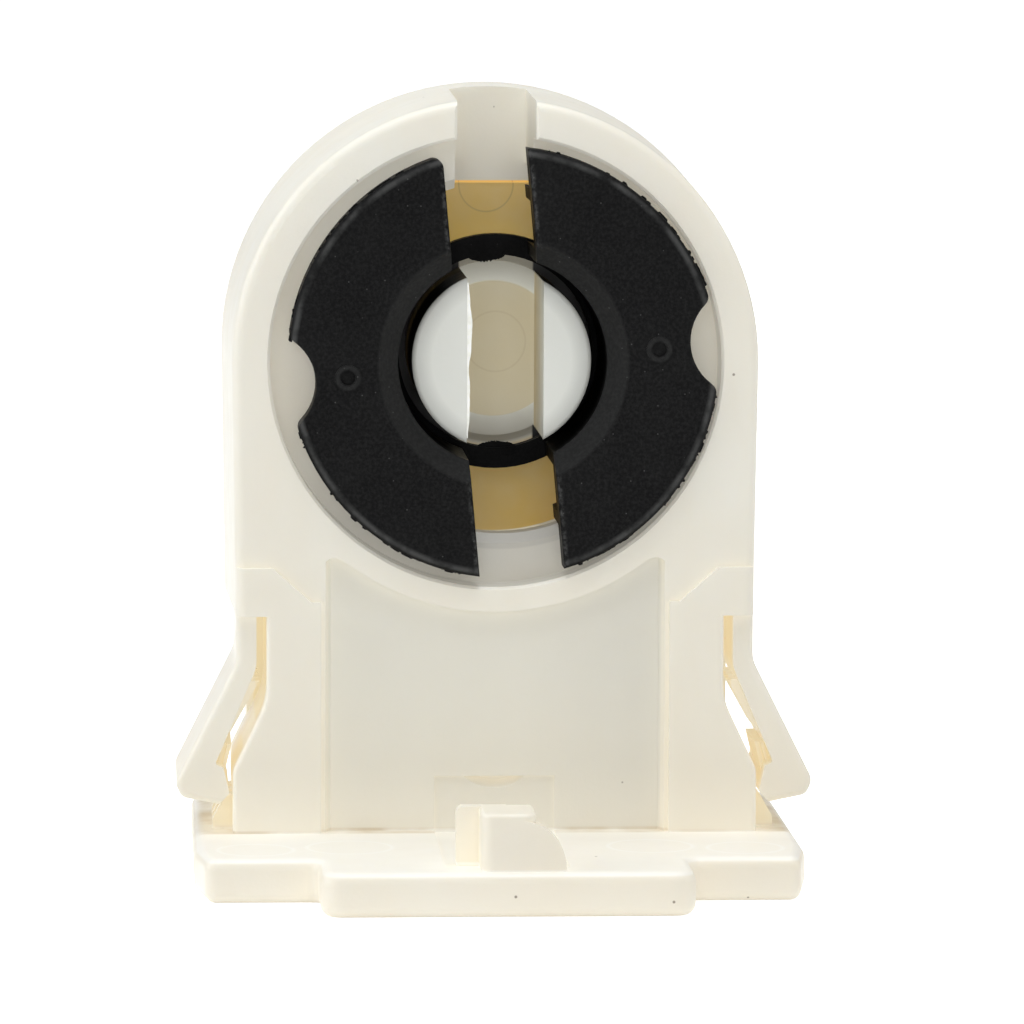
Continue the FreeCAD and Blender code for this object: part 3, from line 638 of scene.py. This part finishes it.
def cream_finish(settings):
    """Cream moulding: warm clouds, faint flow lines, a few dark specks, a fine eggshell surface, painted
    light and shade, and a painted glow.
    """
    material, tree, shader, place = new_finish("cream moulding")
    across, deep, up = split(tree, place)
    beside = arithmetic(tree, "ABSOLUTE", across)
    _, _, radius = from_axis(tree, across, up)
    flow = cloud(tree, stretched(tree, place, flow_stretch), *flow_lines)

    warmth = arithmetic(tree, "ADD", patches(tree, place, *warm_clouds), ramp(tree, up, *foot_height))
    colour = mixed(tree, warmth, settings.cream, settings.cream_warm)
    colour = mixed(tree, ramp(tree, flow, *flow_tint), colour, settings.cream_warm)

    # Painted shade on the recessed front panel, stronger towards its top, and more painted shade towards
    # its right
    panel = area(tree, (beside, panel_side), (deep, panel_front), (deep, panel_back))
    shade = product(tree, panel, ramp(tree, up, *panel_height))
    colour = mixed(tree, shade, colour, settings.panel_painted_shade)
    right = product(tree, panel, ramp(tree, across, *panel_right))
    colour = mixed(tree, right, colour, settings.recess_shade)

    # Painted shade low in the rotor's recess
    recess = area(tree, (radius, recess_rim), (deep, recess_front), (up, recess_height))
    colour = mixed(tree, recess, colour, settings.recess_shade)
    # Painted shade on a band of the recess's ledge, low down
    lip = area(tree, (radius, lip_rim), (deep, recess_front), (up, lip_height))
    colour = mixed(tree, lip, colour, settings.recess_shade)

    # Painted warm shade in the gaps between the foot and the arms
    for (low_x, high_x), (low_z, high_z), share in tan_places:
        spot = area(
            tree,
            (beside, (low_x, low_x + tan_soft)),
            (beside, (high_x, high_x - tan_soft)),
            (up, (low_z, low_z + tan_soft_low)),
            (up, (high_z, high_z - tan_soft)),
            (deep, (*tan_front, 0.0, share)),
            (deep, tan_back),
        )
        colour = mixed(tree, spot, colour, settings.gap_shade_tan)

    colour = paint_flange(tree, colour, settings, beside, deep, up)
    # Patchy painted shade in the inner corner where the panel meets the flange
    seam = area(tree, (up, corner_shade_low), (up, corner_shade_high), (deep, corner_shade_front))
    seam = product(tree, seam, patches(tree, place, *corner_shade_patches))
    colour = mixed(tree, seam, colour, settings.seam)

    dark = product(tree, specks(tree, place, *body_specks), body_speck_share)
    colour = mixed(tree, dark, colour, settings.speck)
    set_colour(tree, shader, colour)
    set_gloss(tree, shader, place, body_gloss, gloss_range, settings.roughness, body_rub)
    waves = raised(tree, flow, *flow_bump)
    fine = raised(tree, cloud(tree, place, *body_grain), *body_bump, waves)
    tree.links.new(fine, shader.inputs["Normal"])
    set_light_inside(shader, *body_light)
    shader.inputs["IOR"].default_value = 1.5
    painted_glow(tree, shader, colour, body_glow_reach, settings.painted_glow)
    return material


def cover_finish(settings):
    """Grey-white moulding: painted warm shade on the floor of the pin channel and inside the boss, painted
    shadow round it.
    """
    material, tree, shader, place = new_finish("grey white moulding")
    across, deep, up = split(tree, place)
    _, _, radius = from_axis(tree, across, up)
    side = distance(tree, across, boss_slot_middle)
    before_back = ramp(tree, deep, *inside_cover)
    behind = product(tree, ramp(tree, deep, *behind_boss), before_back)

    streaks = patches(tree, stretched(tree, place, streak_stretch), *back_streaks)
    haze = arithmetic(tree, "ADD", patches(tree, place, *back_haze), streaks)
    haze = product(tree, haze, ramp(tree, deep, *back_face))
    colour = mixed(tree, haze, settings.cover_white, settings.cover_haze)

    # Patchy painted warm shade on the floor of the pin channel and on the pad in the boss's slot
    patch = patches(tree, place, *tan_patches)
    tan = product(tree, area(tree, (radius, channel_rim), (radius, channel_start)), behind, patch)
    colour = mixed(tree, tan, colour, settings.channel_shade_tan)
    disc = product(tree, ramp(tree, radius, *disc_rim), behind, patch)
    colour = mixed(tree, disc, colour, settings.disc_shade_tan)
    # Painted shade at both ends of the boss's slot, darker towards the ring
    hollow = product(tree, area(tree, (radius, hollow_start), (radius, hollow_rim)), behind)
    colour = mixed(tree, hollow, colour, settings.hollow_shade)
    # Painted shade on the walls of the boss's slot, stronger deeper in
    wall = area(tree, (side, wall_side), (deep, wall_back), (deep, wall_depth))
    colour = mixed(tree, wall, colour, settings.wall_shade_tan)
    # Painted shade on the edges of the boss's face, darker towards its rim
    edge = area(tree, (radius, boss_edge_shade), (deep, boss_face))
    colour = mixed(tree, edge, colour, settings.gap_shade)

    marks = []
    for centre_x, centre_z, mark_radius, width in ejector_marks:
        aside = arithmetic(tree, "SUBTRACT", across, centre_x)
        rise = arithmetic(tree, "SUBTRACT", up, centre_z)
        off = distance(tree, length(tree, aside, rise), mark_radius)
        marks.append(ramp(tree, off, width, width * ejector_core))
    line = product(tree, arithmetic(tree, "MAXIMUM", *marks), behind, ejector_share)
    colour = mixed(tree, line, colour, settings.mark)

    # Painted shadow in the narrow gap round the boss and on its side wall
    shade = area(tree, (radius, gap_start), (radius, gap_rim), (side, beyond_slot), (deep, gap_depth))
    shade = product(tree, shade, before_back)
    colour = mixed(tree, shade, colour, settings.gap_shade)
    set_colour(tree, shader, colour)
    set_gloss(tree, shader, place, cover_gloss, gloss_range, settings.roughness, cover_rub)
    fine = raised(tree, cloud(tree, place, *cover_grain), *cover_bump)
    tree.links.new(fine, shader.inputs["Normal"])
    set_light_inside(shader, *cover_light)
    # Colour of the painted glow, left dark where the painted shadow round the boss lies
    lit = mixed(tree, arithmetic(tree, "SUBTRACT", 1.0, shade), (0.0, 0.0, 0.0), colour)
    painted_glow(tree, shader, lit, cover_glow_reach, settings.painted_glow * cover_glow_share)
    return material


def fin_finish(settings):
    """Thin bright edge of grey-white plastic, brightened by a painted highlight and a painted glow."""
    material, tree, shader, place = new_finish("bright edge")
    colour = mixed(tree, patches(tree, place, *fin_patches), settings.cover_white, settings.fin_highlight)
    set_colour(tree, shader, colour)
    # Painted glow of the flash, in its painted highlight colour
    tree.links.new(colour, shader.inputs["Emission Color"])
    shader.inputs["Emission Strength"].default_value = fin_glow
    shader.inputs["Roughness"].default_value = settings.roughness
    return material


def black_finish(settings):
    """Black moulding with a fine sparked texture, rubbed smoother in places, light dust, painted
    highlights and painted shade deeper inside.
    """
    material, tree, shader, place = new_finish("black moulding")
    across, deep, up = split(tree, place)
    side, rise, radius = from_axis(tree, across, up)

    haze = arithmetic(tree, "ADD", patches(tree, place, *black_haze), patches(tree, place, *black_mottle))
    colour = mixed(tree, haze, settings.black, settings.dust_and_sheen)
    dust_and_sheen = product(tree, specks(tree, place, *black_dust), black_dust_share)
    colour = mixed(tree, dust_and_sheen, colour, settings.dust_and_sheen)
    # Patchy painted highlight on the bevel at the rim of the rotor's plates
    rim_highlight = area(tree, (radius, rim_highlight_start), (radius, rim_highlight_rim))
    rim_highlight = product(tree, rim_highlight, patches(tree, place, *rim_highlight_patches))
    colour = mixed(tree, rim_highlight, colour, settings.dust_and_sheen)
    colour = mixed(tree, area(tree, (radius, sink_rim), (deep, sink_depth)), colour, settings.dust_and_sheen)

    # Painted highlight round the raised ring of each dimple
    lean_cos, lean_sin = math.cos(lean), math.sin(lean)
    off = arithmetic(tree, "ADD", product(tree, side, lean_cos), product(tree, rise, lean_sin))
    off = arithmetic(tree, "ABSOLUTE", off)
    along = arithmetic(tree, "SUBTRACT", product(tree, rise, lean_cos), product(tree, side, lean_sin))
    away = length(tree, arithmetic(tree, "SUBTRACT", off, dimple_place), along)
    ring = area(tree, (away, dimple_rim), (away, dimple_start), (deep, dimple_depth))
    colour = mixed(tree, ring, colour, settings.dust_and_sheen)
    rubbed = area(tree, (off, rubbed_side), (deep, rubbed_depth))
    rubbed = product(tree, rubbed, patches(tree, place, *rubbed_patches))
    colour = mixed(tree, rubbed, colour, settings.dust_and_sheen)

    inner = product(tree, ramp(tree, deep, *inside_rotor), settings.shade)
    set_colour(tree, shader, mixed(tree, inner, colour, (0.0, 0.0, 0.0)))
    set_gloss(tree, shader, place, black_gloss, black_gloss_range, settings.roughness, black_rub)
    grain = raised(tree, cloud(tree, place, *black_grain), settings.grain, black_bump_strength)
    tree.links.new(grain, shader.inputs["Normal"])
    shader.inputs["Specular IOR Level"].default_value = 0.07
    return material


def bronze_finish(settings):
    """Rolled phosphor bronze strip with fine rolling lines and darker tarnish."""
    material, tree, shader, place = new_finish("phosphor bronze")
    lines = cloud(tree, stretched(tree, place, roll_stretch), *roll_lines)
    tarnish = patches(tree, place, *tarnish_patches)
    set_colour(tree, shader, mixed(tree, tarnish, settings.bronze, settings.tarnish))
    tree.links.new(ramp(tree, lines, *gloss_range, *strip_rub), shader.inputs["Roughness"])
    tree.links.new(raised(tree, lines, *roll_bump), shader.inputs["Normal"])
    shader.inputs["Metallic"].default_value = 1.0
    return material


def dress(node_name, material):
    """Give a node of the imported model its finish."""
    for slot in frame["nodes"][node_name].material_slots:
        slot.material = material


# Operators

class HOLDER_OT_body(bpy.types.Operator):
    """Cream finish for the one-piece body"""

    bl_idname = "holder.body"
    bl_label = "Body"

    def execute(self, context):
        dress("body", cream_finish(context.scene.holder_mouldings))
        return {"FINISHED"}


class HOLDER_OT_rear_cover(bpy.types.Operator):
    """Grey-white and tan finish for the rear cover"""

    bl_idname = "holder.rear_cover"
    bl_label = "Rear cover"

    def execute(self, context):
        dress("rear_cover", cover_finish(context.scene.holder_mouldings))
        return {"FINISHED"}


class HOLDER_OT_rotor(bpy.types.Operator):
    """Black finish for the rotor"""

    bl_idname = "holder.rotor"
    bl_label = "Rotor"

    def execute(self, context):
        dress("rotor", black_finish(context.scene.holder_rotor))
        return {"FINISHED"}


def ragged(rng, count, reach, calm):
    """Heights of a ragged edge, between nothing and reach, mostly low."""
    heights = []
    level = 0.0
    for _ in range(count):
        if rng.random() < jump_chance:
            level = reach * rng.random() ** calm
        heights.append(max(0.0, level + reach * jitter * (rng.random() - 0.5)))
    return heights


def wave_level(place):
    """Level of the boss's flash at a place from 0 to 1 along it, eased between the waves."""
    after = max(1, next(index for index, wave in enumerate(boss_waves) if wave[0] >= place))
    (start, low), (end, high) = boss_waves[after - 1], boss_waves[after]
    return low + (high - low) * (1.0 - math.cos(math.pi * (place - start) / (end - start))) / 2


def arc_line(radii, start, end):
    """Points (x, z) about the lamp axis, one for each radius, between two turns from straight up."""
    last = len(radii) - 1
    turns = [start + (end - start) * index / last for index in range(last + 1)]
    return [
        (axis_place.x + radius * math.sin(turn), axis_place.z + radius * math.cos(turn))
        for radius, turn in zip(radii, turns)
    ]


def add_fin(name, root, tip, front_y, thickness, material, body):
    """Thin fin between a root line and a ragged tip line, both of (x, z) points."""
    mesh = bmesh.new()
    front, back = [
        [[mesh.verts.new((x, y, z)) for x, z in line] for line in (root, tip)]
        for y in (front_y, front_y + thickness)
    ]
    strips = [front, back, (front[0], back[0]), (front[1], back[1])]
    for low, high in strips:
        for step in range(len(root) - 1):
            mesh.faces.new((low[step], low[step + 1], high[step + 1], high[step]))
    for step in (0, -1):
        mesh.faces.new((front[0][step], front[1][step], back[1][step], back[0][step]))
    bmesh.ops.recalc_face_normals(mesh, faces=mesh.faces)
    fin = bpy.data.objects.new(name, bpy.data.meshes.new(name))
    mesh.to_mesh(fin.data)
    mesh.free()
    bpy.context.scene.collection.objects.link(fin)
    fin.data.materials.append(material)
    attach(fin, body)


class HOLDER_OT_rotor_flash(bpy.types.Operator):
    """Ragged fins on the rims of the rotor's plates and inside its end ring"""

    bl_idname = "holder.rotor_flash"
    bl_label = "Rotor flash"

    def execute(self, context):
        settings = context.scene.holder_flash
        material = frame["nodes"]["rotor"].material_slots[0].material
        rng = random.Random(settings.seed)
        rim_y = rotor_front + rim_fin_depth
        for name, start, end, calm in rim_fins:
            heights = ragged(rng, rim_steps, settings.rim_reach, calm)
            heights[0] = heights[-1] = 0.0
            root = arc_line([settings.rim_radius - fin_root] * rim_steps, start - lean, end - lean)
            tip = arc_line([settings.rim_radius + height for height in heights], start - lean, end - lean)
            add_fin(name, root, tip, rim_y, settings.thickness, material, "rotor")
        ring_y = rotor_back - ring_fin_depth
        for name, start, end in ring_fins:
            places = [step / (ring_steps - 1) for step in range(ring_steps)]
            swell = [math.sin(math.pi * place) ** ring_swell for place in places]
            heights = [settings.ring_reach * part * rng.uniform(ring_least, 1.0) for part in swell]
            root = arc_line([settings.ring_radius + fin_root] * ring_steps, start, end)
            tip = arc_line([settings.ring_radius - height for height in heights], start, end)
            add_fin(name, root, tip, ring_y, settings.thickness, material, "rotor")
        return {"FINISHED"}


class HOLDER_OT_boss_flash(bpy.types.Operator):
    """Wavy white fin along the left edge of the boss's slot"""

    bl_idname = "holder.boss_flash"
    bl_label = "Boss flash"

    def execute(self, context):
        settings = context.scene.holder_flash
        material = fin_finish(context.scene.holder_mouldings)
        rng = random.Random(settings.seed + boss_fin_seed)
        places = [step / (boss_steps - 1) for step in range(boss_steps)]
        heights = []
        for place in places:
            level = wave_level(place) + rng.uniform(0.0, boss_fin_noise)
            heights.append(boss_fin_least + settings.boss_reach * level)
        heights.reverse()
        levels = [boss_fin_low + boss_fin_length * place for place in places]
        root = [(boss_slot_edge - fin_root, level) for level in levels]
        tip = [(boss_slot_edge + height, level) for height, level in zip(heights, levels)]
        fin_y = boss_front + boss_fin_depth
        add_fin("boss_flash", root, tip, fin_y, settings.thickness, material, "holder")
        return {"FINISHED"}


class HOLDER_OT_contacts(bpy.types.Operator):
    """Bronze finish for the two contacts"""

    bl_idname = "holder.contacts"
    bl_label = "Contacts"

    def execute(self, context):
        material = bronze_finish(context.scene.holder_contacts)
        dress("left_contact", material)
        dress("right_contact", material)
        return {"FINISHED"}


def floor_finish():
    """White floor that shows plain white to the camera and still takes a soft shadow."""
    material = bpy.data.materials.new("studio floor")
    material.use_nodes = True
    tree = material.node_tree
    tree.nodes.clear()
    paper = set_node(tree, "ShaderNodeBsdfDiffuse", {"Color": (0.8, 0.8, 0.8)}).outputs["BSDF"]
    light = {"Color": (1.0, 1.0, 1.0), "Strength": 0.75}
    white = set_node(tree, "ShaderNodeEmission", light).outputs["Emission"]
    lit = set_node(tree, "ShaderNodeAddShader", {0: paper, 1: white}).outputs["Shader"]
    rays = set_node(tree, "ShaderNodeLightPath").outputs
    shown = arithmetic(tree, "MAXIMUM", rays["Is Camera Ray"], rays["Is Glossy Ray"])
    shown = arithmetic(tree, "MAXIMUM", shown, rays["Is Transmission Ray"])
    surface = set_node(tree, "ShaderNodeMixShader", {0: shown, 1: paper, 2: lit}).outputs["Shader"]
    set_node(tree, "ShaderNodeOutputMaterial", {"Surface": surface})
    return material


def set_world(strength):
    """Even light from all round, plain white to the camera."""
    world = bpy.data.worlds.new("studio")
    bpy.context.scene.world = world
    world.use_nodes = True
    tree = world.node_tree
    tree.nodes.clear()
    rays = set_node(tree, "ShaderNodeLightPath").outputs
    shown = arithmetic(tree, "MAXIMUM", rays["Is Camera Ray"], rays["Is Transmission Ray"])
    level = ramp(tree, shown, 0.0, 1.0, strength, 1.0)
    back = set_node(tree, "ShaderNodeBackground", {"Color": (1.0, 1.0, 1.0), "Strength": level})
    set_node(tree, "ShaderNodeOutputWorld", {"Surface": back.outputs["Background"]})


def add_lamp(name, place, size, power, colour=(1.0, 1.0, 1.0)):
    """Square soft lamp that points at the lamp axis."""
    bpy.ops.object.light_add(type="AREA", location=place)
    lamp = bpy.context.object
    lamp.name = name
    lamp.data.size = size
    lamp.data.energy = power
    lamp.data.color = colour
    lamp.rotation_euler = (axis_place - Vector(place)).to_track_quat("-Z", "Y").to_euler()


def add_camera(settings):
    """The photograph's camera."""
    camera = bpy.data.objects.new("camera", bpy.data.cameras.new("camera"))
    bpy.context.scene.collection.objects.link(camera)
    aim = Euler((math.pi / 2 - settings.camera_tilt, 0.0, -settings.camera_heading)).to_matrix()
    aim = aim @ Matrix.Rotation(settings.camera_roll, 3, "Z")
    camera.location = settings.camera_place
    camera.rotation_euler = aim.to_euler()
    camera.data.sensor_width = 36.0
    camera.data.lens = settings.camera_lens
    camera.data.clip_start = MM
    bpy.context.scene.camera = camera


class HOLDER_OT_studio(bpy.types.Operator):
    """Floor, world light, lamps and the photograph's camera"""

    bl_idname = "holder.studio"
    bl_label = "Studio"

    def execute(self, context):
        settings = context.scene.holder_studio
        context.scene.view_settings.view_transform = "Standard"
        bpy.ops.object.select_all(action="DESELECT")
        bpy.ops.mesh.primitive_circle_add(vertices=96, radius=settings.floor_radius, fill_type="NGON")
        floor = context.object
        floor.name = "studio_floor"
        floor.data.materials.append(floor_finish())
        set_world(settings.ambient)
        for name, (place, size, share) in plain_lamps.items():
            add_lamp(name, place, size, settings.lamp_power * share)
        for name, (place, size, share) in cool_lamps.items():
            add_lamp(name, place, size, settings.lamp_power * share, settings.cool_light)
        add_camera(settings)
        return {"FINISHED"}


class HOLDER_PT_panel(bpy.types.Panel):
    """Lists the pieces and the studio"""

    bl_idname = "HOLDER_PT_panel"
    bl_label = "Lamp holder"
    bl_space_type = "VIEW_3D"
    bl_region_type = "UI"
    bl_category = "Lamp holder"

    def draw(self, context):
        layout = self.layout
        for operator in operators:
            layout.operator(operator.bl_idname)


groups = {
    "holder_mouldings": HolderMouldings,
    "holder_rotor": HolderRotor,
    "holder_flash": HolderFlash,
    "holder_contacts": HolderContacts,
    "holder_studio": HolderStudio,
}
operators = [
    HOLDER_OT_studio,
    HOLDER_OT_body,
    HOLDER_OT_rear_cover,
    HOLDER_OT_rotor,
    HOLDER_OT_rotor_flash,
    HOLDER_OT_boss_flash,
    HOLDER_OT_contacts,
]


def register():
    for group in groups.values():
        bpy.utils.register_class(group)
    for name, group in groups.items():
        setattr(bpy.types.Scene, name, PointerProperty(type=group))
    for operator in operators:
        bpy.utils.register_class(operator)
    bpy.utils.register_class(HOLDER_PT_panel)


def unregister():
    bpy.utils.unregister_class(HOLDER_PT_panel)
    for operator in reversed(operators):
        bpy.utils.unregister_class(operator)
    for name in groups:
        delattr(bpy.types.Scene, name)
    for group in reversed(groups.values()):
        bpy.utils.unregister_class(group)


def main():
    register()
    bpy.ops.holder.studio()
    bpy.ops.holder.body()
    bpy.ops.holder.rear_cover()
    bpy.ops.holder.rotor()
    bpy.ops.holder.rotor_flash()
    bpy.ops.holder.boss_flash()
    bpy.ops.holder.contacts()


if __name__ == "__main__":
    main()
